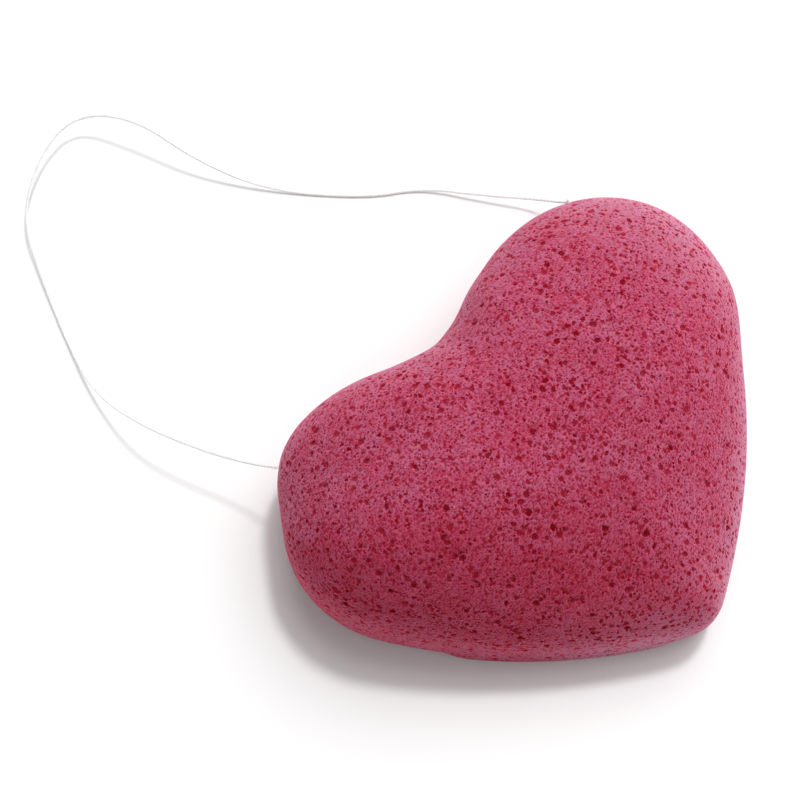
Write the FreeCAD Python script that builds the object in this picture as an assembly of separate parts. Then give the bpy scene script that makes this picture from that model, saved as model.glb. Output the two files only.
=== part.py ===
"""Heart-shaped konjac sponge with the cotton thread that it is hung up by.

Millimetres. The sponge lies on its flat face on z = 0, the heart's point is towards -Y, the lobes
are at +X and -X, and the origin is at the middle of the sponge's box, on the surface it lies on.
"""
import FreeCAD, Part
import math
import os

# The moulded body: a heart of tangent arcs at its widest level
sponge_width = 80.0
sponge_length = 62.0
lobe_radius = 19.4
tip_radius = 7.5
side_radius = 95.0
notch_radius = 29.0

# How it rises: the flat foot, the widest level and the crown
sponge_height = 28.5
widest_height = 11.5
foot_inset = 2.4
foot_cut = 0.5

# The dome closes like an ellipse of this power, and its heart fades to an oval as it narrows
dome_power = 2.2
foot_power = 4.0
crown_reach_share = 0.8
crown_y_share = 0.048
oval_lobe_share = 0.40
oval_tip_share = 0.28
oval_notch_share = 1.0
foot_level_shares = (0.0, 0.08, 0.25, 0.55)
dome_angles = (0.0, 17.0, 33.0, 47.0, 59.0, 69.0, 77.0, 83.0, 87.0)

# The cotton thread, its hole through the body and the flared mouth at each end of the hole
thread_diameter = 0.5
hole_clearance = 0.06
thread_height = 12.5
mouth_angle = 31.0
mouth_radius = 1.3
mouth_depth = 1.5
hole_bend_depth = 8.5
hole_under_notch = 6.5

# The knot that closes the loop, tied in both ends of the thread and hidden half way along the hole.
# Its pitch, its rise at a crossing, the offset between its two strands and its tails are shares of
# the thread's diameter
knot_pitch_share = 1.8
knot_rise_share = 2.0
strand_offset_share = 0.8
tail_share = 2.8
knot_clearance = 0.2

# Arc radius at a bend, as a share of its shorter run
bend_share = 0.45

# The free thread from the -X lobe round to the +X lobe, as it lies in the photograph
loop_points = [
    (-30.8, 28.7, 12.5),
    (-33.9, 31.9, 12.5),
    (-37.5, 39.5, 11.6),
    (-40.9, 49.0, 10.0),
    (-42.5, 58.3, 7.9),
    (-39.8, 67.3, 6.5),
    (-35.4, 79.2, 5.3),
    (-30.2, 90.1, 4.4),
    (-21.6, 96.7, 4.6),
    (-12.7, 98.2, 5.2),
    (-5.7, 90.6, 4.2),
    (-3.7, 79.2, 1.6),
    (2.5, 67.9, 0.25),
    (11.8, 57.4, 0.25),
    (20.2, 50.9, 0.25),
    (26.4, 42.3, 1.4),
    (32.0, 35.4, 2.6),
    (35.9, 31.2, 6.0),
    (33.6, 30.3, 10.8),
    (30.8, 28.7, 12.5),
]

# An overhand knot laid flat, in knot pitches along and across it; the last column is the side
# of a crossing that the strand passes on
knot_shares = (
    (-3.7, 1.0, 0),
    (-1.4, -1.2, 1),
    (0.0, -3.1, -1),
    (1.5, -4.2, 0),
    (2.4, -3.0, 0),
    (1.5, -1.2, 1),
    (0.0, -0.2, 0),
    (-1.5, -1.2, -1),
    (-2.4, -3.0, 0),
    (-1.5, -4.2, 0),
    (0.0, -3.1, 1),
    (1.4, -1.2, -1),
    (3.4, 0.0, 0),
)

# How each end of the thread comes to the knot, from the -X lobe and from the +X lobe
left_lead_shares = ((-5.2, -11.0, 0), (-6.0, -1.5, 0), (-5.5, 0.8, 0))
right_lead_shares = ((-5.2, 11.0, 0), (-5.5, 3.7, 0))

lobe_x = sponge_width / 2 - lobe_radius
lobe_y = sponge_length / 2 - lobe_radius
notch_y = lobe_y + math.sqrt((lobe_radius + notch_radius) ** 2 - lobe_x ** 2) - notch_radius
crown_y = crown_y_share * sponge_length
mouth_x = lobe_x + lobe_radius * math.sin(math.radians(mouth_angle))
mouth_y = lobe_y + lobe_radius * math.cos(math.radians(mouth_angle))
thread_radius = thread_diameter / 2
knot_pitch = knot_pitch_share * thread_diameter
knot_rise = knot_rise_share * thread_diameter
strand_offset = strand_offset_share * thread_diameter
tail_length = tail_share * thread_diameter
knot_y = notch_y - hole_under_notch + left_lead_shares[0][0] * knot_pitch
pocket_rows = left_lead_shares[1:] + right_lead_shares[1:] + knot_shares
pocket_reach_share = max(math.hypot(along, across) for along, across, crossing in pocket_rows)
pocket_radius = pocket_reach_share * knot_pitch + thread_radius + knot_clearance
pocket_height = 2 * (knot_rise + strand_offset + thread_radius + knot_clearance)
hole_radius = thread_radius + hole_clearance


def vec(x, y, z):
    return FreeCAD.Vector(x, y, z)


def towards(centre, point, distance):
    """The point at a distance from a centre, on the line through another point."""
    return centre + (point - centre).normalize() * distance


def arc(centre, radius, start, end):
    """The shorter arc of a circle from start to end."""
    return Part.Arc(start, towards(centre, (start + end) / 2, radius), end).toShape()


def side_centre(lobe, tip, lobe_r, tip_r, side_r):
    """Centre of the long arc that touches a lobe's circle and the tip's circle from outside them."""
    span = tip - lobe
    reach = span.Length
    along = ((side_r - lobe_r) ** 2 - (side_r - tip_r) ** 2 + reach ** 2) / (2 * reach)
    off = math.sqrt((side_r - lobe_r) ** 2 - along ** 2)
    unit = span / reach
    return lobe + unit * along + vec(unit.y, -unit.x, 0) * off


def blend(start, end, share):
    return start + (end - start) * share


def heart_wire(height, scale, oval):
    """One level of the body: a closed outline of six tangent arcs, scaled about the crown."""
    lobe_r = blend(lobe_radius, oval_lobe_share * sponge_length, oval) * scale
    tip_r = blend(tip_radius, oval_tip_share * sponge_length, oval) * scale
    notch_r = blend(notch_radius, oval_notch_share * sponge_length, oval) * scale
    side_r = side_radius * scale
    top = crown_y + (sponge_length / 2 - crown_y) * scale
    bottom = crown_y - (sponge_length / 2 + crown_y) * scale
    right = vec(sponge_width * scale / 2 - lobe_r, top - lobe_r, height)
    left = vec(-right.x, right.y, height)
    tip = vec(0, bottom + tip_r, height)
    notch = vec(0, right.y + math.sqrt((lobe_r + notch_r) ** 2 - right.x ** 2), height)
    side_right = side_centre(right, tip, lobe_r, tip_r, side_r)
    side_left = vec(-side_right.x, side_right.y, height)
    tip_right = towards(side_right, tip, side_r)
    lobe_side_right = towards(side_right, right, side_r)
    lobe_notch_right = towards(right, notch, lobe_r)
    tip_left = vec(-tip_right.x, tip_right.y, height)
    lobe_side_left = vec(-lobe_side_right.x, lobe_side_right.y, height)
    lobe_notch_left = vec(-lobe_notch_right.x, lobe_notch_right.y, height)
    return Part.Wire([
        arc(tip, tip_r, tip_left, tip_right),
        arc(side_right, side_r, tip_right, lobe_side_right),
        arc(right, lobe_r, lobe_side_right, lobe_notch_right),
        arc(notch, notch_r, lobe_notch_right, lobe_notch_left),
        arc(left, lobe_r, lobe_notch_left, lobe_side_left),
        arc(side_left, side_r, lobe_side_left, tip_left),
    ])


def bent_path(points):
    """Straight runs joined by tangent arcs, each as large as its two runs allow."""
    edges = []
    radii = []
    start = points[0]
    for before, corner, after in zip(points, points[1:], points[2:]):
        run_in = corner - before
        run_out = after - corner
        cut = bend_share * min(run_in.Length, run_out.Length)
        turn = run_in.getAngle(run_out)
        radius = cut / math.tan(turn / 2)
        arc_start = towards(corner, before, cut)
        arc_end = towards(corner, after, cut)
        inward = (before - corner).normalize() + (after - corner).normalize()
        middle = corner + inward.normalize() * (radius / math.cos(turn / 2) - radius)
        edges.append(Part.LineSegment(start, arc_start).toShape())
        edges.append(Part.Arc(arc_start, middle, arc_end).toShape())
        radii.append(radius)
        start = arc_end
    edges.append(Part.LineSegment(start, points[-1]).toShape())
    return Part.Wire(edges), radii


def tube(points, radius, name):
    """A round tube along the bent path of its points."""
    path, radii = bent_path(points)
    circle = Part.Circle(points[0], points[1] - points[0], radius).toShape()
    solid = path.makePipeShell([Part.Wire([circle])], True, False)
    expected = math.pi * radius ** 2 * path.Length
    print(name, "length", round(path.Length, 1), "least radius", round(min(radii), 2))
    print("  radii", [round(value, 1) for value in radii])
    print("  volume over section times length", round(solid.Volume / expected, 4))
    return solid


def mouth(side, depth=0.0):
    """A point on the line of the hole's mouth on one lobe, at a depth below the surface."""
    return towards(vec(side * mouth_x, mouth_y, thread_height), vec(side * lobe_x, lobe_y, thread_height), depth)


def knot_point(along, across, crossing, side):
    level = thread_height + side * strand_offset + crossing * knot_rise
    return vec(across * knot_pitch, knot_y - along * knot_pitch, level)


def strand(side, lead_shares):
    """Routes of one end of the thread: the stretch in the hole, and the stretch in the knot."""
    route = [mouth(side), mouth(side, hole_bend_depth)]
    route += [knot_point(*shares, side) for shares in lead_shares + knot_shares]
    route.append(route[-1] - vec(0, tail_length, 0))
    split = (route[2] + route[3]) / 2
    return route[:3] + [split], [split] + route[3:]


def mouth_flare(side):
    """The cone that opens the hole's mouth, as wide outside the surface as it is deep inside it."""
    foot = mouth(side, mouth_depth)
    wide = 2 * mouth_radius - hole_radius
    return Part.makeCone(hole_radius, wide, 2 * mouth_depth, foot, mouth(side) - foot)


def hole(side, inside, knot):
    """One half of the thread's hole: its mouth, the bent stretch, and straight on into the pocket."""
    last_run = knot[1] - knot[0]
    end = Part.makeCylinder(hole_radius, last_run.Length, knot[0], last_run)
    return tube(inside, hole_radius, "hole").fuse([mouth_flare(side), end])


def foot_level(share):
    """A level below the widest one, whose edge rounds under to the flat foot."""
    inset = 1 - math.sqrt(1 - (1 - share) ** foot_power)
    height = share * widest_height if share else -foot_cut
    return heart_wire(height, 1 - inset * 2 * foot_inset / sponge_width, 0)


def dome_level(angle):
    """A level above the widest one; the angle runs from 0 there to 90 degrees at the crown."""
    rise = math.sin(math.radians(angle)) ** (2 / dome_power)
    inset = 1 - math.cos(math.radians(angle)) ** (2 / dome_power)
    return heart_wire(blend(widest_height, sponge_height, rise), 1 - crown_reach_share * inset, inset)


def sponge_body(strands):
    """The lofted heart, cut flat underneath, with the thread's hole, its mouths and the knot's pocket."""
    levels = [foot_level(share) for share in foot_level_shares] + [dome_level(angle) for angle in dome_angles]
    slab_corner = vec(-sponge_width, -sponge_length, -sponge_height)
    slab = Part.makeBox(2 * sponge_width, 2 * sponge_length, sponge_height, slab_corner)
    pocket_foot = vec(0, knot_y, thread_height - pocket_height / 2)
    hollow = Part.makeCylinder(pocket_radius, pocket_height, pocket_foot)
    for side, (inside, knot) in zip((-1, 1), strands):
        hollow = hollow.fuse(hole(side, inside, knot))
    return Part.makeLoft(levels, True, False).cut(slab).cut(hollow)


def write(shape, node):
    shape.exportStep("parts/" + node + ".step")
    print(node, "solids", len(shape.Solids), "valid", shape.isValid(), "volume", round(shape.Volume, 2))


os.makedirs("parts", exist_ok=True)
strands = [strand(-1, left_lead_shares), strand(1, right_lead_shares)]
insides = [tube(inside, thread_radius, "thread_inside") for inside, knot in strands]
knots = [tube(knot, thread_radius, "thread_knot") for inside, knot in strands]
write(sponge_body(strands), "sponge_body")
write(Part.makeCompound(insides), "thread_inside")
write(Part.makeCompound(knots), "thread_knot")
write(tube([vec(*point) for point in loop_points], thread_radius, "thread_loop"), "thread_loop")
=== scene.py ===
# %% [markdown]
# # A heart-shaped konjac sponge on its thread
#
# The real object is a soft heart of foamed and set konjac gel, about as wide as a hand, with a thin
# cotton thread pulled through both lobes so that it can be hung up to dry. This lesson starts from the
# measured model, which knows where every piece is, and makes what that model leaves out: the foam's
# skin with its thousands of open pores, and the two twisted plies of the thread.

# %% Load the measured model
import math
import bmesh
import bpy
from mathutils import Matrix, Vector


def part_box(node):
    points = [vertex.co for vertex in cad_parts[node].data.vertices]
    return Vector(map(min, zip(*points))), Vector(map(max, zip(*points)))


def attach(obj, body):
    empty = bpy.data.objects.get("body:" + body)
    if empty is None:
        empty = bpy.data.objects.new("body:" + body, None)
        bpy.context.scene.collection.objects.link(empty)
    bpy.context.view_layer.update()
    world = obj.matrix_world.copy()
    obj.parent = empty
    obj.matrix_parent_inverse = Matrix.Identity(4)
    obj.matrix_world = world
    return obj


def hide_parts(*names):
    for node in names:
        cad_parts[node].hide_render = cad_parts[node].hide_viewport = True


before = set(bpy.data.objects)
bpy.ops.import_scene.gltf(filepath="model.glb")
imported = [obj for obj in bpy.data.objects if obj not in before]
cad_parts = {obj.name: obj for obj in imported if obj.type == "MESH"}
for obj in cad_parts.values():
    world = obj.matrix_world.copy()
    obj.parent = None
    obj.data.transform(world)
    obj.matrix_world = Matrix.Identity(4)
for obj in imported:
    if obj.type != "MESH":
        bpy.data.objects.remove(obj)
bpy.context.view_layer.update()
body_low, body_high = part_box("sponge_body")
MM = 0.001
print("sponge box, mm:", [round(size / MM, 1) for size in body_high - body_low])

# %% [markdown]
# ## The camera
#
# The photograph looks down steeply on the sponge, from its point's side. A camera is easiest to place by
# what it aims at, its distance and two angles round that point, because each of these can then be
# changed alone. A 24 degree field of view is that of a short telephoto lens, which flattens things little.

# %% Place the camera
camera_aim = Vector((-0.0075, 0.0270, 0.0))
camera_distance = 0.2949
camera_elevation = math.radians(71.0)
camera_azimuth = math.radians(-43.75)
field_of_view = math.radians(24.0)
near_clip_share = 0.05


def add_camera():
    """A camera that looks at its aim, with the picture's top away from the sponge's near side."""
    data = bpy.data.cameras.new("camera")
    data.lens = data.sensor_width / 2 / math.tan(field_of_view / 2)
    data.clip_start = camera_distance * near_clip_share
    camera = bpy.data.objects.new("camera", data)
    level = math.cos(camera_elevation)
    back = Vector((
        math.sin(camera_azimuth) * level,
        -math.cos(camera_azimuth) * level,
        math.sin(camera_elevation),
    ))
    camera.location = camera_aim + back * camera_distance
    camera.rotation_euler = (-back).to_track_quat("-Z", "Y").to_euler()
    bpy.context.scene.collection.objects.link(camera)
    bpy.context.scene.camera = camera


add_camera()
print("lens, mm:", round(bpy.context.scene.camera.data.lens, 1))

# %% [markdown]
# ## Helpers for node trees
#
# Geometry Nodes and materials are both trees of nodes. A few small helpers keep the cells that follow
# short: they add a node and fill its inputs with numbers or links, or add a sum or another calculation.

# %% Node helpers
def add_node(tree, kind, inputs=None, **settings):
    """A new node with its settings, and each named input filled with a value or a link."""
    made = tree.nodes.new(kind)
    for name, value in settings.items():
        setattr(made, name, value)
    for key, value in (inputs or {}).items():
        if isinstance(value, bpy.types.NodeSocket):
            tree.links.new(value, made.inputs[key])
        else:
            made.inputs[key].default_value = value
    return made


def calc(tree, operation, *values):
    """The result of a Math node."""
    return add_node(tree, "ShaderNodeMath", dict(enumerate(values)), operation=operation).outputs[0]


def calc_vector(tree, operation, *values):
    """The result of a Vector Math node: a number for a dot product or a length, otherwise a vector."""
    made = add_node(tree, "ShaderNodeVectorMath", dict(enumerate(values)), operation=operation)
    return made.outputs["Value" if operation in ("DOT_PRODUCT", "LENGTH") else "Vector"]


def scaled(tree, vector, factor):
    """A vector made longer or shorter."""
    return add_node(tree, "ShaderNodeVectorMath", {0: vector, "Scale": factor}, operation="SCALE").outputs[0]


def squared(tree, value):
    """A value times itself."""
    return calc(tree, "MULTIPLY", value, value)


def parts_of(tree, vector):
    """The three numbers of a vector or a colour."""
    return add_node(tree, "ShaderNodeSeparateXYZ", {0: vector}).outputs


def ramp(tree, value, start, end, low=0.0, high=1.0, smooth=True):
    """A value mapped from one range to another, with an S-shaped or a straight change between."""
    kind = "SMOOTHSTEP" if smooth else "LINEAR"
    inputs = {"Value": value, "From Min": start, "From Max": end, "To Min": low, "To Max": high}
    return add_node(tree, "ShaderNodeMapRange", inputs, interpolation_type=kind).outputs["Result"]


def blend_colours(tree, share, low, high, way="MIX"):
    """Two colours mixed, or the first one tinted, by a share."""
    inputs = {"Factor": share, "A": low, "B": high}
    return add_node(tree, "ShaderNodeMix", inputs, data_type="RGBA", blend_type=way).outputs["Result"]


print("node helpers ready")

# %% [markdown]
# ## Helpers for pieces
#
# These start and finish a Geometry Nodes tree, run it on a piece and put a piece into the scene. A tree
# runs as a modifier, and an input of a modifier goes by the socket's identifier, not by its name.

# %% Piece helpers
def new_tree(name, inputs):
    """A Geometry Nodes tree with named inputs, its last node, and its inputs by name."""
    tree = bpy.data.node_groups.new(name, "GeometryNodeTree")
    for title, kind in inputs:
        tree.interface.new_socket(title, in_out="INPUT", socket_type=kind)
    tree.interface.new_socket("Geometry", in_out="OUTPUT", socket_type="NodeSocketGeometry")
    start = tree.nodes.new("NodeGroupInput")
    end = tree.nodes.new("NodeGroupOutput")
    return tree, end, {socket.name: socket for socket in start.outputs if socket.name}


def finish_tree(tree, end, geometry, finish):
    """The last steps of each tree: one real mesh, smooth, in its material."""
    real = add_node(tree, "GeometryNodeRealizeInstances", {"Geometry": geometry}).outputs[0]
    smooth = add_node(tree, "GeometryNodeSetShadeSmooth", {"Geometry": real}).outputs[0]
    done = add_node(tree, "GeometryNodeSetMaterial", {"Geometry": smooth, "Material": finish}).outputs[0]
    tree.links.new(done, end.inputs[0])


def plain_mesh(piece):
    """The mesh that a piece's modifiers make, as a new mesh."""
    bpy.context.view_layer.update()
    depsgraph = bpy.context.evaluated_depsgraph_get()
    return bpy.data.meshes.new_from_object(piece.evaluated_get(depsgraph), depsgraph=depsgraph)


def run_tree(piece, tree, values):
    """The piece's mesh after a Geometry Nodes tree with these inputs, as a new mesh."""
    modifier = piece.modifiers.new(tree.name, "NODES")
    modifier.node_group = tree
    for item in tree.interface.items_tree:
        if item.in_out == "INPUT" and item.name in values:
            modifier[item.identifier] = values[item.name]
    mesh = plain_mesh(piece)
    piece.modifiers.clear()
    return mesh


def add_piece(name, data):
    """A new object in the scene, which wears this mesh or curve."""
    piece = bpy.data.objects.new(name, data)
    bpy.context.scene.collection.objects.link(piece)
    return piece


print("piece helpers ready")

# %% [markdown]
# ## The thread's route
#
# The free thread leaves one lobe, droops to the table, rises in a low arch and lies on the table until
# it goes back into the other lobe. A few given points and a NURBS spline that they steer give the
# soft, slightly uneven line that a limp thread takes. The height of each point is as much part of the
# shape as its place, because the shadow beside the thread shows it.

# %% Draw the route
thread_diameter = 0.00048
steps_between_points = 24
route_points = [
    (-0.0308, 0.0287, 0.0125),
    (-0.0331, 0.0330, 0.0094),
    (-0.0370, 0.0405, 0.0085),
    (-0.0406, 0.0498, 0.0073),
    (-0.0416, 0.0604, 0.0020),
    (-0.0390, 0.0701, 0.0003),
    (-0.0347, 0.0816, 0.0009),
    (-0.0304, 0.0911, 0.0023),
    (-0.0210, 0.0972, 0.0031),
    (-0.0123, 0.0984, 0.0034),
    (-0.0066, 0.0898, 0.0062),
    (-0.0038, 0.0785, 0.0034),
    (0.0019, 0.0676, 0.0003),
    (0.0127, 0.0556, 0.00025),
    (0.0202, 0.0509, 0.00025),
    (0.0264, 0.0423, 0.0014),
    (0.0318, 0.0356, 0.0024),
    (0.0333, 0.0320, 0.0046),
    (0.0326, 0.0303, 0.0088),
    (0.0317, 0.0300, 0.0120),
    (0.0308, 0.0287, 0.0125),
]


def smooth_line(name, points):
    """The points of a NURBS spline that has the given ones as its control points, as a plain mesh."""
    curve = bpy.data.curves.new(name, "CURVE")
    curve.dimensions = "3D"
    curve.resolution_u = steps_between_points
    spline = curve.splines.new("NURBS")
    spline.points.add(len(points) - 1)
    for point, place in zip(spline.points, points):
        point.co = (*place, 1.0)
    spline.order_u = 3
    spline.use_endpoint_u = True
    piece = add_piece(name, curve)
    line = bpy.data.meshes.new_from_object(piece)
    bpy.data.objects.remove(piece)
    return line


thread_line = smooth_line("thread_line", route_points)
thread_path = [tuple(vertex.co) for vertex in thread_line.vertices]
thread_length = sum(math.dist(a, b) for a, b in zip(thread_path, thread_path[1:]))
print("free thread, mm:", round(thread_length / MM, 1))

# %% [markdown]
# ## Two plies twisted together
#
# Sewing cotton is two plies wound round each other, and that is what one sees of it close up: a row of
# slanting beads. Geometry Nodes can wind them: the route becomes an evenly stepped curve, each step is
# pushed out sideways by an angle that grows along the length, and a small circle is swept along the
# result. Winding the whole thread by hand would take as many points as it has steps.

# %% The tree that twists a thread
ply_sides = 8


def twist_tree():
    """Geometry Nodes that wind two plies round a line."""
    tree, end, given = new_tree("twisted_plies", (
        ("Geometry", "NodeSocketGeometry"),
        ("Ply Radius", "NodeSocketFloat"),
        ("Twist Pitch", "NodeSocketFloat"),
        ("Step", "NodeSocketFloat"),
        ("Finish", "NodeSocketMaterial"),
    ))
    line = add_node(tree, "GeometryNodeMeshToCurve", {"Mesh": given["Geometry"]}).outputs[0]
    even = add_node(
        tree, "GeometryNodeResampleCurve", {"Curve": line, "Length": given["Step"]}, mode="LENGTH"
    ).outputs[0]
    along = tree.nodes.new("GeometryNodeSplineParameter").outputs["Length"]
    turns = calc(tree, "DIVIDE", along, given["Twist Pitch"])
    normal = tree.nodes.new("GeometryNodeInputNormal").outputs[0]
    tangent = tree.nodes.new("GeometryNodeInputTangent").outputs[0]
    across = calc_vector(tree, "CROSS_PRODUCT", tangent, normal)
    circle = add_node(
        tree, "GeometryNodeCurvePrimitiveCircle", {"Resolution": ply_sides, "Radius": given["Ply Radius"]}
    ).outputs[0]
    join = tree.nodes.new("GeometryNodeJoinGeometry")
    for ply in (0.0, 0.5):
        angle = calc(tree, "MULTIPLY", calc(tree, "ADD", turns, ply), math.tau)
        sideways = calc_vector(
            tree, "ADD",
            scaled(tree, normal, calc(tree, "COSINE", angle)),
            scaled(tree, across, calc(tree, "SINE", angle)),
        )
        offset = scaled(tree, sideways, given["Ply Radius"])
        wound = add_node(tree, "GeometryNodeSetPosition", {"Geometry": even, "Offset": offset}).outputs[0]
        tube = add_node(
            tree, "GeometryNodeCurveToMesh", {"Curve": wound, "Profile Curve": circle, "Fill Caps": True}
        ).outputs[0]
        tree.links.new(tube, join.inputs[0])
    finish_tree(tree, end, join.outputs[0], given["Finish"])
    return tree


twisted_plies = twist_tree()
print("nodes that twist a thread:", len(twisted_plies.nodes))

# %% [markdown]
# ## Cotton
#
# Cotton isn't white paint: it is a bundle of fine fibres, which scatter light softly and let some of it
# through. A very fine noise stands for the fibres, in colour and as a low bump, and a broader one makes
# some stretches greyer than others. Sheen adds the soft edge that loose fibre ends give, and a little
# subsurface scattering carries light round to the shaded side of so thin a thread.

# %% The cotton material
noise_low, noise_high = 0.35, 0.65
cotton_grey = (0.91, 0.90, 0.89, 1.0)
cotton_white = (0.97, 0.97, 0.96, 1.0)
fibres_per_metre = 9000.0
stretches_per_metre = 700.0
fibre_height = 0.00003
cotton_glow_depth = 0.0004


def cotton_material():
    """Fine fibres in two near whites, matt and a little see-through."""
    material = bpy.data.materials.new("cotton")
    material.use_nodes = True
    tree = material.node_tree
    shader = tree.nodes["Principled BSDF"]
    place = tree.nodes.new("ShaderNodeTexCoord").outputs["Object"]
    fibres = add_node(
        tree, "ShaderNodeTexNoise", {"Vector": place, "Scale": fibres_per_metre, "Detail": 2.0}
    ).outputs["Fac"]
    patches = add_node(
        tree, "ShaderNodeTexNoise", {"Vector": place, "Scale": stretches_per_metre, "Detail": 3.0}
    ).outputs["Fac"]
    shade = calc(tree, "ADD", calc(tree, "MULTIPLY", fibres, 0.5), calc(tree, "MULTIPLY", patches, 0.5))
    colour = blend_colours(tree, ramp(tree, shade, noise_low, noise_high), cotton_grey, cotton_white)
    tree.links.new(colour, shader.inputs["Base Color"])
    bump = add_node(tree, "ShaderNodeBump", {"Height": fibres, "Strength": 0.4, "Distance": fibre_height})
    tree.links.new(bump.outputs[0], shader.inputs["Normal"])
    shader.inputs["Roughness"].default_value = 0.9
    shader.inputs["Sheen Weight"].default_value = 0.3
    shader.inputs["Subsurface Weight"].default_value = 0.5
    shader.inputs["Subsurface Radius"].default_value = (cotton_glow_depth,) * 3
    shader.inputs["Subsurface Scale"].default_value = 1.0
    return material


cotton = cotton_material()
for node_name in ("thread_inside", "thread_knot", "thread_loop"):
    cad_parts[node_name].data.materials.clear()
    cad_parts[node_name].data.materials.append(cotton)
print("cotton given to the thread's nodes")

# %% [markdown]
# ## The free thread
#
# The tree now winds the plies round the route. Two plies of half the thread's width, each a quarter of
# it away from the middle, just touch and fill the whole width. The thread swings about the sponge's
# mouths, so it rides on the body that the measured model calls the loop.

# %% Wind the free thread
ply_radius = thread_diameter / 4
twist_pitch = 0.0013
thread_step = 0.00011

thread_seed = add_piece("thread_seed", thread_line)
thread_mesh = run_tree(thread_seed, twisted_plies, {
    "Ply Radius": ply_radius,
    "Twist Pitch": twist_pitch,
    "Step": thread_step,
    "Finish": cotton,
})
bpy.data.objects.remove(thread_seed)
thread = add_piece("hanging_thread", thread_mesh)
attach(thread, "loop")
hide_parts("thread_loop")
print("thread faces:", len(thread_mesh.polygons))

# %% [markdown]
# ## The sponge's skin
#
# The measured model's surface is made of long thin triangles, and pores need an even, dense mesh. So a
# convex hull, which bridges the heart's notch and the mouths of the thread's hole, is shrunk back onto
# the measured surface, and a voxel remesh spreads its squares evenly. Shrinking from outside passes
# over the thin hole and leaves only its mouths as dimples. Modelling the heart anew would be the other
# way, but then its size could drift from the measured one.

# %% Wrap an even skin on the body
weld_distance = 0.000001
hull_voxel = 0.0010
hull_gap = 0.0004
skin_voxel = 0.0006
smoothing_rounds = 3


def hull_of(mesh):
    """The convex hull of a mesh, as a new mesh."""
    hull = bmesh.new()
    hull.from_mesh(mesh)
    bmesh.ops.remove_doubles(hull, verts=hull.verts, dist=weld_distance)
    made = bmesh.ops.convex_hull(hull, input=hull.verts, use_existing_faces=False)
    left_over = made["geom_interior"] + made["geom_unused"]
    loose = {item for item in left_over if isinstance(item, bmesh.types.BMVert)}
    bmesh.ops.delete(hull, geom=list(loose), context="VERTS")
    hull_mesh = bpy.data.meshes.new("hull")
    hull.to_mesh(hull_mesh)
    hull.free()
    return hull_mesh


def wrapped_skin():
    """An even, closed skin on the outside of the measured body."""
    core = add_piece("core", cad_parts["sponge_body"].data.copy())
    shell = add_piece("shell", hull_of(core.data))
    spread = shell.modifiers.new("spread", "REMESH")
    spread.mode = "VOXEL"
    spread.voxel_size = hull_voxel
    lift = shell.modifiers.new("lift", "DISPLACE")
    lift.strength = hull_gap
    lift.mid_level = 0.0
    wrap = shell.modifiers.new("wrap", "SHRINKWRAP")
    wrap.target = core
    wrap.wrap_method = "NEAREST_SURFACEPOINT"
    even = shell.modifiers.new("even", "REMESH")
    even.mode = "VOXEL"
    even.voxel_size = skin_voxel
    soft = shell.modifiers.new("soft", "CORRECTIVE_SMOOTH")
    soft.iterations = smoothing_rounds
    soft.use_only_smooth = True
    mesh = plain_mesh(shell)
    bpy.data.objects.remove(shell)
    bpy.data.objects.remove(core)
    return mesh


skin_mesh = wrapped_skin()
print("skin squares:", len(skin_mesh.polygons))

# %% [markdown]
# ## Uneven, as it was cast
#
# A cast and dried heart is never quite even: one lobe is fuller than the other, the body has sunk a
# little towards the heart's point, and the edge of the foot stands out in a thin lip where the foam set
# against its tray. The lobes and the lip are small pushes of the skin over a stretch of the outline, the
# sunk part is made lower by a share that grows towards the point. Moving vertices in a loop is enough
# for this, and it is done while the skin is still coarse. Angles are in degrees round the middle, counted
# from the right-hand side towards the notch.

# %% Push the skin a little out or in
outline_centre = Vector((0.003, 0.009, 0.0))
outline_pushes = {
    "right lobe": {"angle": 16.0, "spread": 22.0, "push": 0.00080},
    "right side": {"angle": -16.0, "spread": 10.0, "push": 0.00075},
    "notch wall": {"angle": 73.0, "spread": 13.0, "push": 0.00140},
    "notch floor": {"angle": 109.0, "spread": 11.0, "push": -0.00060},
    "left lobe": {"angle": 145.0, "spread": 9.0, "push": 0.00100},
    "left side": {"angle": 160.0, "spread": 7.0, "push": -0.00065},
    "tip": {"angle": 266.0, "spread": 4.0, "push": 0.00030},
    "point side": {"angle": 301.0, "spread": 30.0, "push": 0.00034},
}
calm_radius = 0.012
lip_height = 0.0115
lip_push = 0.00125
lip_power = 4.0
lip_start, lip_stop = 206.5, 258.0
lip_blend = 4.5
lip_end_steepness = 4.0
lip_end_limit = 8.0
sunk_way = Vector((-0.17, -0.98, 0.0))
sunk_start, sunk_stop = 0.004, 0.036
sunk_share = 0.26


def outline_push(angle):
    """How far the skin stands out or in at an angle: each stretch is a soft bump round its middle."""
    push = 0.0
    for stretch in outline_pushes.values():
        off = (angle - stretch["angle"] + 180.0) % 360.0 - 180.0
        push += stretch["push"] * math.exp(-(off / stretch["spread"]) ** 2)
    return push


def lip_out(angle, height):
    """How far the lip at the foot stands out: full at the table, and fading at both of its ends."""
    turn = angle % 360.0
    within = min(turn - lip_start, lip_stop - turn) / lip_blend
    limited = max(-lip_end_limit, min(lip_end_limit, within))
    side = 1.0 / (1.0 + math.exp(-lip_end_steepness * limited))
    low = max(0.0, 1.0 - height / lip_height)
    return lip_push * side * low ** lip_power


def uneven(mesh):
    """Pushes each vertex away from the middle, as its direction asks, and sinks the heart's point."""
    for vertex in mesh.vertices:
        flat = vertex.co - outline_centre
        flat.z = 0.0
        angle = math.degrees(math.atan2(flat.y, flat.x))
        push = outline_push(angle) + lip_out(angle, vertex.co.z)
        reach = min(1.0, flat.length / calm_radius)
        vertex.co += flat.normalized() * push * reach
        far = max(0.0, min(1.0, (flat.dot(sunk_way) - sunk_start) / (sunk_stop - sunk_start)))
        vertex.co.z *= 1.0 - sunk_share * far * far * (3.0 - 2.0 * far)


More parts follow.
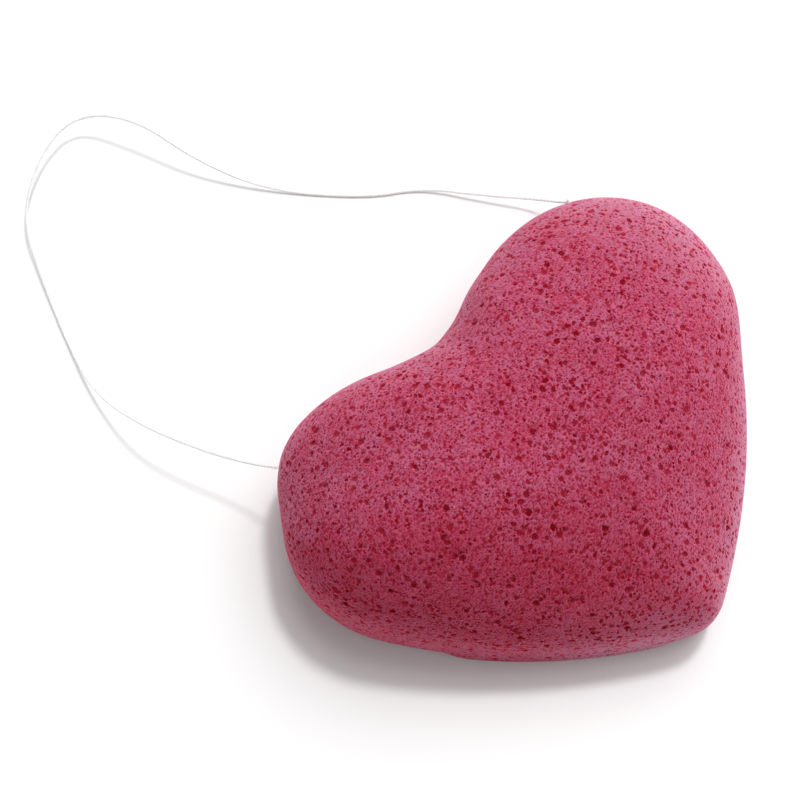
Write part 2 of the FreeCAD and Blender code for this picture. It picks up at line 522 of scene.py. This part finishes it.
uneven(skin_mesh)
print("pushes:", list(outline_pushes), "the lip and the sunk point")

# %% [markdown]
# ## The skin laid out flat
#
# Other programs may want the colours as a picture, which is baked through a UV map: the skin laid out
# flat. The map is made now, while the skin is smooth, because it then has a few large islands. Once the
# pores are open, each hollow would be a scrap of its own. The pores carry the map along as they open.
# No material here reads it.

# %% Lay out the skin
island_angle = math.radians(66.0)
island_margin = 0.004


def add_flat_map(mesh):
    """A UV map for baking, laid out by which way the faces point."""
    mesh.uv_layers.new(name="OFBake")
    piece = add_piece("flat", mesh)
    bpy.context.view_layer.objects.active = piece
    piece.select_set(True)
    bpy.ops.object.mode_set(mode="EDIT")
    bpy.ops.mesh.select_all(action="SELECT")
    bpy.ops.uv.smart_project(angle_limit=island_angle, island_margin=island_margin)
    bpy.ops.object.mode_set(mode="OBJECT")
    bpy.data.objects.remove(piece)


add_flat_map(skin_mesh)
print("maps on the skin:", [layer.name for layer in skin_mesh.uv_layers])

# %% [markdown]
# ## Pores
#
# Foam is full of round bubbles, and the surface cuts through some of them. A Voronoi texture in three
# dimensions scatters bubble centres evenly but irregularly. Where the surface point lies inside a bubble
# it's pushed in to the bubble's far wall, which leaves a round hollow with a sharp rim. Three layers of
# this, from coarse to fine, give the mix of sizes that the real foam has. The material draws the same
# bubbles again, so one function lays out a layer in either kind of node tree.

# %% One layer of bubbles
pore_sizes = {
    "Coarse": {
        "Spacing": 0.00136,
        "Least Radius": 0.00030,
        "Widest Radius": 0.00060,
        "Share": 0.85,
        "Seed": 0.31,
        "Warp Share": 0.45,
    },
    "Middle": {
        "Spacing": 0.00084,
        "Least Radius": 0.00021,
        "Widest Radius": 0.00039,
        "Share": 0.90,
        "Seed": 0.53,
        "Warp Share": 0.6,
    },
    "Fine": {
        "Spacing": 0.00052,
        "Least Radius": 0.00013,
        "Widest Radius": 0.00025,
        "Share": 0.88,
        "Seed": 0.77,
        "Warp Share": 0.8,
    },
}
pore_rim = 0.00010
pore_depth_share = 0.65
pore_size_power = 2.0


def bubble_layer(tree, place, size):
    """How far a place lies inside the nearest bubble, its radius, the way to its centre and a chance."""
    density = calc(tree, "DIVIDE", 1.0, size["Spacing"])
    seed = size["Seed"]
    shift = add_node(tree, "ShaderNodeCombineXYZ", {0: seed, 1: seed, 2: seed}).outputs[0]
    moved = calc_vector(tree, "ADD", place, shift)
    shake = add_node(tree, "ShaderNodeTexNoise", {"Vector": moved, "Scale": density, "Detail": 1.0})
    centred = calc_vector(tree, "SUBTRACT", shake.outputs["Color"], (0.5, 0.5, 0.5))
    warp = calc(tree, "MULTIPLY", size["Warp Share"], size["Spacing"])
    moved = calc_vector(tree, "ADD", moved, scaled(tree, centred, warp))
    bubbles = add_node(tree, "ShaderNodeTexVoronoi", {"Vector": moved, "Scale": density, "Randomness": 1.0})
    chance = parts_of(tree, bubbles.outputs["Color"])
    wider = calc(tree, "SUBTRACT", size["Widest Radius"], size["Least Radius"])
    spread = calc(tree, "POWER", chance[0], pore_size_power)
    radius = calc(tree, "MULTIPLY_ADD", spread, wider, size["Least Radius"])
    present = calc(tree, "LESS_THAN", chance[1], size["Share"])
    radius = calc(tree, "MULTIPLY", radius, present)
    to_centre = calc_vector(tree, "SUBTRACT", bubbles.outputs["Position"], moved)
    inside = calc(tree, "SUBTRACT", radius, calc_vector(tree, "LENGTH", to_centre))
    return inside, radius, to_centre, chance[2]


print("bubble layers:", list(pore_sizes))

# %% [markdown]
# ## Opening the pores
#
# The way to a bubble's far wall is half its chord along the normal, less the way out to its centre. The
# deepest of the three layers counts, and the fall is eased in over a narrow rim, so that the hollow has
# an edge and no step. Two attributes keep where each point was and which way it faced before it fell,
# for the material to read.

# %% The tree that opens the pores
def keep_on_points(tree, geometry, name, value):
    """The geometry with a vector kept on each point under this name."""
    return add_node(tree, "GeometryNodeStoreNamedAttribute", {
        "Geometry": geometry, "Name": name, "Value": value,
    }, data_type="FLOAT_VECTOR", domain="POINT").outputs[0]


def foam_tree():
    """Geometry Nodes that push the skin in to the far walls of the bubbles that it cuts."""
    sizes = []
    for name, size in pore_sizes.items():
        sizes += [(name + " " + title, "NodeSocketFloat") for title in size]
    tree, end, given = new_tree("open_pores", (
        ("Geometry", "NodeSocketGeometry"),
        ("Rim", "NodeSocketFloat"),
        ("Depth Share", "NodeSocketFloat"),
        *sizes,
        ("Finish", "NodeSocketMaterial"),
    ))
    place = tree.nodes.new("GeometryNodeInputPosition").outputs[0]
    normal = tree.nodes.new("GeometryNodeInputNormal").outputs[0]
    depth = 0.0
    for name, size in pore_sizes.items():
        layer = {title: given[name + " " + title] for title in size}
        inside, radius, to_centre, _ = bubble_layer(tree, place, layer)
        outward = calc_vector(tree, "DOT_PRODUCT", to_centre, normal)
        distance = calc(tree, "SUBTRACT", radius, inside)
        sideways = calc(tree, "SUBTRACT", squared(tree, distance), squared(tree, outward))
        rest = calc(tree, "SUBTRACT", squared(tree, radius), sideways)
        half_chord = calc(tree, "SQRT", calc(tree, "MAXIMUM", rest, 0.0))
        far_wall = calc(tree, "MINIMUM", calc(tree, "SUBTRACT", half_chord, outward), radius)
        opening = ramp(tree, inside, 0.0, given["Rim"])
        depth = calc(tree, "MAXIMUM", depth, calc(tree, "MULTIPLY", far_wall, opening))
    marked = keep_on_points(tree, given["Geometry"], "rest_place", place)
    marked = keep_on_points(tree, marked, "rest_normal", normal)
    fall = calc(tree, "MULTIPLY", depth, calc(tree, "MULTIPLY", given["Depth Share"], -1.0))
    pitted = add_node(
        tree, "GeometryNodeSetPosition", {"Geometry": marked, "Offset": scaled(tree, normal, fall)}
    ).outputs[0]
    finish_tree(tree, end, pitted, given["Finish"])
    return tree


open_pores = foam_tree()
print("nodes that open the pores:", len(open_pores.nodes))

# %% [markdown]
# ## Tinted konjac gel
#
# The gel is tinted and lets light through, red light furthest, so it has subsurface scattering with a
# far longer reach in red. A cell wall on top is dusty pink. A pore's floor is painted a deep crimson:
# painted shade of the hollow, and of light that comes out of it after going through more gel. Between
# the pores lie cells too fine for any mesh, which are drawn as dark dots with pale ridges, and the dots
# are painted shade. The side that turns to the viewer is painted darker and redder, as painted shade,
# and the far side and the low corner at the heart's point are painted paler, as painted light. The way
# that the skin faced before the pores were opened tells these sides apart. A few pale specks are
# painted glints. The bubbles are drawn from the place that the skin had then, so colour and hollow stay
# together.

# %% The foam material
wall_dusty = (0.510, 0.109, 0.207, 1.0)
wall_rosy = (0.495, 0.065, 0.137, 1.0)
ridge_pale = (0.580, 0.178, 0.280, 1.0)
# Painted shade: the dark dots of the fine cells.
cell_dot_shade = (0.370, 0.024, 0.070, 1.0)
# Painted shade: the floors of the pores, darker and redder than the walls.
pore_shade_pale = (0.430, 0.024, 0.060, 1.0)
pore_shade_dark = (0.280, 0.002, 0.012, 1.0)
# Painted shade: the side that turns to the viewer is tinted darker and redder.
painted_shade_tint = (0.90, 0.54, 0.60, 1.0)
# Painted light: the far side and the low corner at the heart's point are paler.
painted_light_pale = (0.560, 0.240, 0.345, 1.0)
# Painted glints: a few pale specks.
painted_glint_colour = (0.90, 0.60, 0.70, 1.0)
pore_shade_edges = {"Coarse": 0.00011, "Middle": 0.00006, "Fine": 0.00004}
patches_per_metre = 260.0
cell_spacing = 0.00034
ridge_start, ridge_full = 0.50, 0.85
ridge_share = 0.50
ridge_relief_share = 0.5
least_dot, widest_dot = 0.25, 0.72
dot_edge = 0.15
dot_shade_share = 0.72
painted_light_share = 0.75
point_light_share = 0.80
glint_chance = 0.005
glint_edge, glint_core = 0.30, 0.12
pale_pore_shade_chance = 0.2
cell_relief = 0.00010
# Painted shade falls where the skin faces this way.
painted_shade_side = (-0.80, -0.60, 0.0)
painted_shade_start, painted_shade_full = 0.14, 0.56
# Painted light falls where the skin faces these ways, and on the low corner at the point.
painted_light_side = (0.95, 0.31, 0.0)
painted_light_start, painted_light_full = 0.15, 0.90
point_light_side = (0.34, -0.94, 0.0)
point_light_start, point_light_full = 0.64, 0.95
corner_light_low, corner_light_high = 0.0020, 0.0240
corner_light_in, corner_light_out = -0.0120, -0.0290
gel_depth = (0.0080, 0.0003, 0.0006)


def turned_to(tree, outward, side, start, end):
    """0 where the skin faces away from a side, 1 where it faces it, with a soft change between."""
    return ramp(tree, calc_vector(tree, "DOT_PRODUCT", outward, side), start, end)


def painted_shade_and_light(tree, place):
    """How much painted shade and how much painted light the skin has at a place."""
    outward = add_node(tree, "ShaderNodeAttribute", attribute_name="rest_normal").outputs["Vector"]
    # Painted shade where the skin turns to the viewer.
    painted_shade = turned_to(tree, outward, painted_shade_side, painted_shade_start, painted_shade_full)
    # Painted light on the far side, at the point and on the low corner near it.
    painted_light = turned_to(tree, outward, painted_light_side, painted_light_start, painted_light_full)
    point = turned_to(tree, outward, point_light_side, point_light_start, point_light_full)
    spot = parts_of(tree, place)
    low_down = ramp(tree, spot["Z"], corner_light_high, corner_light_low)
    near_point = ramp(tree, spot["Y"], corner_light_in, corner_light_out)
    point = calc(tree, "MAXIMUM", point, calc(tree, "MULTIPLY", low_down, near_point))
    painted_light = calc(tree, "MAXIMUM", painted_light, calc(tree, "MULTIPLY", point, point_light_share))
    painted_shade = calc(tree, "MULTIPLY", painted_shade, calc(tree, "SUBTRACT", 1.0, point))
    return painted_shade, painted_light


def foam_material():
    """The gel: walls, fine cells and painted light, then the pores' painted shade, and painted shade over
    all.
    """
    material = bpy.data.materials.new("konjac_foam")
    material.use_nodes = True
    tree = material.node_tree
    shader = tree.nodes["Principled BSDF"]
    place = add_node(tree, "ShaderNodeAttribute", attribute_name="rest_place").outputs["Vector"]
    patches = add_node(
        tree, "ShaderNodeTexNoise", {"Vector": place, "Scale": patches_per_metre, "Detail": 5.0}
    ).outputs["Fac"]
    wall = blend_colours(tree, ramp(tree, patches, noise_low, noise_high), wall_rosy, wall_dusty)
    cells = add_node(tree, "ShaderNodeTexVoronoi", {"Vector": place, "Scale": 1 / cell_spacing}).outputs
    cell_chance = parts_of(tree, cells["Color"])
    ridge = ramp(tree, cells["Distance"], ridge_start, ridge_full)
    reach = ramp(tree, cell_chance[0], 0.0, 1.0, least_dot, widest_dot, smooth=False)
    dot = ramp(tree, calc(tree, "SUBTRACT", reach, cells["Distance"]), 0.0, dot_edge)
    # Painted glints: a pale spot in a few rare cells.
    glint_spot = ramp(tree, cells["Distance"], glint_edge, glint_core)
    painted_glint = calc(tree, "MULTIPLY", calc(tree, "LESS_THAN", cell_chance[1], glint_chance), glint_spot)
    painted_shade, painted_light = painted_shade_and_light(tree, place)
    colour = blend_colours(tree, calc(tree, "MULTIPLY", ridge, ridge_share), wall, ridge_pale)
    # Painted shade in the fine cells' dots.
    colour = blend_colours(tree, calc(tree, "MULTIPLY", dot, dot_shade_share), colour, cell_dot_shade)
    # Painted light: paler on the far side and at the point.
    colour = blend_colours(tree, calc(tree, "MULTIPLY", painted_light, painted_light_share), colour, painted_light_pale)
    colour = blend_colours(tree, painted_glint, colour, painted_glint_colour)
    # Painted shade on the pores' floors.
    for name, size in reversed(pore_sizes.items()):
        inside, _, _, chance = bubble_layer(tree, place, size)
        deep = ramp(tree, chance, pale_pore_shade_chance, 1.0, smooth=False)
        floor = blend_colours(tree, deep, pore_shade_pale, pore_shade_dark)
        colour = blend_colours(tree, ramp(tree, inside, 0.0, pore_shade_edges[name]), colour, floor)
    # Painted shade over the side that turns to the viewer.
    colour = blend_colours(tree, painted_shade, colour, painted_shade_tint, "MULTIPLY")
    tree.links.new(colour, shader.inputs["Base Color"])
    relief = calc(tree, "SUBTRACT", calc(tree, "MULTIPLY", ridge, ridge_relief_share), dot)
    bump = add_node(tree, "ShaderNodeBump", {"Height": relief, "Strength": 0.8, "Distance": cell_relief})
    tree.links.new(bump.outputs[0], shader.inputs["Normal"])
    shader.inputs["Roughness"].default_value = 0.7
    shader.inputs["Specular IOR Level"].default_value = 0.0
    shader.inputs["Sheen Weight"].default_value = 0.35
    shader.inputs["Sheen Roughness"].default_value = 0.4
    shader.inputs["Sheen Tint"].default_value = (1.0, 0.75, 0.85, 1.0)
    shader.inputs["Subsurface Weight"].default_value = 0.8
    shader.inputs["Subsurface Radius"].default_value = gel_depth
    shader.inputs["Subsurface Scale"].default_value = 1.0
    return material


foam = foam_material()
print("nodes of the foam:", len(foam.node_tree.nodes))

# %% [markdown]
# ## The finished sponge
#
# Each square of the skin is divided into sixteen, which is fine enough for the smallest pores, and then
# the tree opens them all at once. The sizes go in through the tree's own inputs. The sponge is soft
# and stands in for the measured body, so it rides where that does.

# %% Open the pores
fine_levels = 2

skin = add_piece("skin", skin_mesh)
fine = skin.modifiers.new("fine", "SUBSURF")
fine.levels = fine.render_levels = fine_levels
values = {"Rim": pore_rim, "Depth Share": pore_depth_share, "Finish": foam}
for name, size in pore_sizes.items():
    for title, value in size.items():
        values[name + " " + title] = value
sponge_mesh = run_tree(skin, open_pores, values)
bpy.data.objects.remove(skin)
sponge = add_piece("sponge", sponge_mesh)
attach(sponge, "sponge")
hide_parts("sponge_body")
print("sponge faces:", len(sponge_mesh.polygons))

# %% [markdown]
# ## A white table
#
# A white table under a white sky shows nothing but the object and its shadow. The table's own colour
# stays near white, so that the shadow falls on it as on paper, and a trace of glow that only the viewer
# sees carries it to full white.

# %% Table
table_colour = (0.92, 0.92, 0.92, 1.0)
glow_colour = (1.0, 1.0, 1.0, 1.0)
table_glow = 0.03
table_radius = 3.0
table_sides = 96


def seen_by_eye(tree):
    """1 for rays that a viewer sees a surface by, straight or in a reflection, and 0 for light."""
    ray = tree.nodes.new("ShaderNodeLightPath").outputs
    mirrored = calc(tree, "MAXIMUM", ray["Is Glossy Ray"], ray["Is Transmission Ray"])
    return calc(tree, "MAXIMUM", ray["Is Camera Ray"], mirrored)


def white_table():
    """A wide round table top at the sponge's foot."""
    material = bpy.data.materials.new("white_table")
    material.use_nodes = True
    tree = material.node_tree
    shader = tree.nodes["Principled BSDF"]
    shader.inputs["Base Color"].default_value = table_colour
    shader.inputs["Roughness"].default_value = 0.9
    shader.inputs["Specular IOR Level"].default_value = 0.1
    shader.inputs["Emission Color"].default_value = glow_colour
    glow = calc(tree, "MULTIPLY", seen_by_eye(tree), table_glow)
    tree.links.new(glow, shader.inputs["Emission Strength"])
    bpy.ops.mesh.primitive_circle_add(vertices=table_sides, radius=table_radius, fill_type="NGON")
    table = bpy.context.object
    table.name = "table"
    table.data.transform(Matrix.Translation((0.0, 0.0, body_low.z)))
    table.data.materials.append(material)


white_table()
print("table radius, m:", table_radius)

# %% [markdown]
# ## Light
#
# The light is a small studio's. A small key lamp behind the object and to its right draws the shadow
# that the thread throws on the table. A broad soft lamp beside it gives most of the light, and a low
# window on the right reaches under that edge. A weak fill lamp on the viewer's side throws the faint
# second shadow of the thread. The side that faces the viewer gets the least, so it falls into deep
# colour, which the foam's painted shade on that side deepens.

# %% Lamps and sky
lamps = {
    "key": {"strength": 1.20, "tilt": 25.0, "turn": -28.0, "spread": 7.5},
    "softbox": {"strength": 1.55, "tilt": 33.0, "turn": -26.0, "spread": 52.0},
    "window": {"strength": 0.40, "tilt": 50.0, "turn": -70.0, "spread": 70.0},
    "fill": {"strength": 0.14, "tilt": 28.0, "turn": 180.0, "spread": 8.0},
}
sky_colour = (1.0, 1.0, 1.0, 1.0)
sky_strength = 0.25


def add_lamp(name, strength, tilt, turn, spread):
    """A lamp tilted from overhead to behind the object, then turned about it: below 0 is to its right."""
    lamp = bpy.data.lights.new(name, "SUN")
    lamp.energy = strength
    lamp.angle = math.radians(spread)
    holder = bpy.data.objects.new(name, lamp)
    holder.rotation_euler = (-math.radians(tilt), 0.0, camera_azimuth + math.radians(turn))
    bpy.context.scene.collection.objects.link(holder)


def add_sky():
    """An even sky, dim as a light, which the camera sees as white."""
    world = bpy.data.worlds.new("sky")
    world.use_nodes = True
    bpy.context.scene.world = world
    tree = world.node_tree
    strength = ramp(tree, seen_by_eye(tree), 0.0, 1.0, sky_strength, 1.0, smooth=False)
    sky = tree.nodes["Background"]
    sky.inputs["Color"].default_value = sky_colour
    tree.links.new(strength, sky.inputs["Strength"])


for lamp_name, setting in lamps.items():
    add_lamp(lamp_name, **setting)
add_sky()
bpy.context.scene.view_settings.view_transform = "Standard"
print("lamps", list(lamps), "sky", sky_strength)
